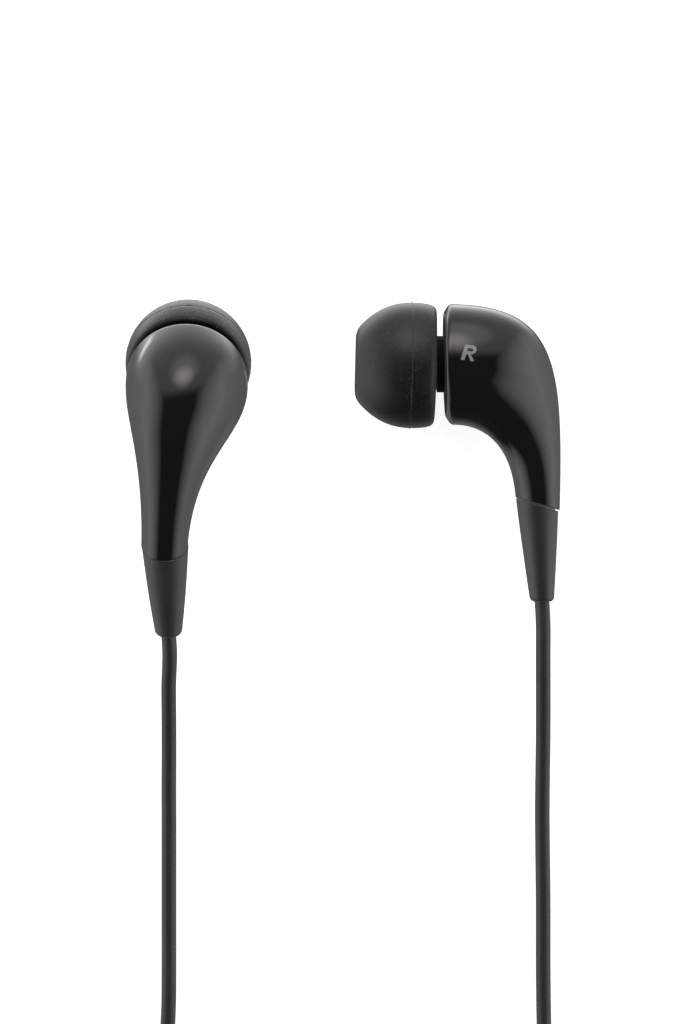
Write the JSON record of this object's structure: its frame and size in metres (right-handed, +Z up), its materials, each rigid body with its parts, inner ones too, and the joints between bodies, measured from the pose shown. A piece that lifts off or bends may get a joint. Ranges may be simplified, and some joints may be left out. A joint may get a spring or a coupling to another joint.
{
  "type": "wired earphones",
  "caption": "Pair of in-ear earphones with elbow housings and soft tips, laid flat, on a Y-shaped cord with a straight stereo plug, for listening to sound.",
  "frame": {"origin": "on the table, under the middle of the box round the two earphones without their cords", "axes": "+Z up from the table, +X from the left earphone to the right one, +Y away from the cords"},
  "size_m": [0.0446, 0.1699, 0.019],
  "materials": {
    "gloss_shell": "high gloss, moulded",
    "silicone": "matt soft silicone",
    "mesh_metal": "fine woven mesh",
    "foam": "thin open foam",
    "cover_metal": "perforated sheet",
    "film": "thin polyester film",
    "copper": "enamelled copper wire",
    "frame_plastic": "moulded",
    "steel": "plated",
    "magnet": "nickel plated",
    "board": "solder mask",
    "relief_rubber": "satin elastomer",
    "cord_jacket": "satin elastomer",
    "tie_rubber": "flat band",
    "contact_gold": "gold plated"
  },
  "bodies": {
    "earphones": {"left_housing": "gloss_shell", "left_front_cap": "gloss_shell", "left_nozzle_mesh": "mesh_metal", "left_gasket": "foam", "left_driver_cover": "cover_metal", "left_driver_frame": "frame_plastic", "left_pole_plate": "steel", "left_magnet": "magnet", "left_yoke": "steel", "left_terminal_board": "board", "left_lead_wires": "copper", "left_cord_end": "cord_jacket", "left_cord_stop": "steel", "left_strain_relief": "relief_rubber", "right_housing": "gloss_shell", "right_front_cap": "gloss_shell", "right_nozzle_mesh": "mesh_metal", "right_gasket": "foam", "right_driver_cover": "cover_metal", "right_driver_frame": "frame_plastic", "right_pole_plate": "steel", "right_magnet": "magnet", "right_yoke": "steel", "right_terminal_board": "board", "right_lead_wires": "copper", "right_cord_end": "cord_jacket", "right_cord_stop": "steel", "right_strain_relief": "relief_rubber", "left_cord": "cord_jacket", "left_coil": "cord_jacket", "left_coil_tie": "tie_rubber", "left_tail": "cord_jacket", "right_cord": "cord_jacket", "right_coil": "cord_jacket", "right_coil_tie": "tie_rubber", "right_tail": "cord_jacket", "y_split": "relief_rubber", "trunk_lead": "cord_jacket", "trunk_coil": "cord_jacket", "trunk_coil_tie": "tie_rubber", "trunk_tail": "cord_jacket", "plug_boot": "relief_rubber", "plug_grip": "gloss_shell", "plug_sleeve": "contact_gold", "plug_ring": "contact_gold", "plug_tip": "contact_gold", "plug_insulators": "frame_plastic"},
    "left_tip": {"left_ear_tip": "silicone"},
    "right_tip": {"right_ear_tip": "silicone"},
    "left_cone": {"left_diaphragm": "film", "left_voice_coil": "copper"},
    "right_cone": {"right_diaphragm": "film", "right_voice_coil": "copper"}
  },
  "joints": [
    {"name": "left_tip_pull", "type": "slide", "parent": "earphones", "child": "left_tip", "axis": [0, 0.4695, -0.8829], "range_m": [0, 0.008]},
    {"name": "right_tip_pull", "type": "slide", "parent": "earphones", "child": "right_tip", "axis": [-1, 0, 0], "range_m": [0, 0.008]},
    {"name": "left_cone_travel", "type": "slide", "parent": "earphones", "child": "left_cone", "axis": [0, 0.4695, -0.8829], "range_m": [-0.0001, 0.0001], "stiffness_N_per_m": 40},
    {"name": "right_cone_travel", "type": "slide", "parent": "earphones", "child": "right_cone", "axis": [-1, 0, 0], "range_m": [-0.0001, 0.0001], "stiffness_N_per_m": 40}
  ]
}
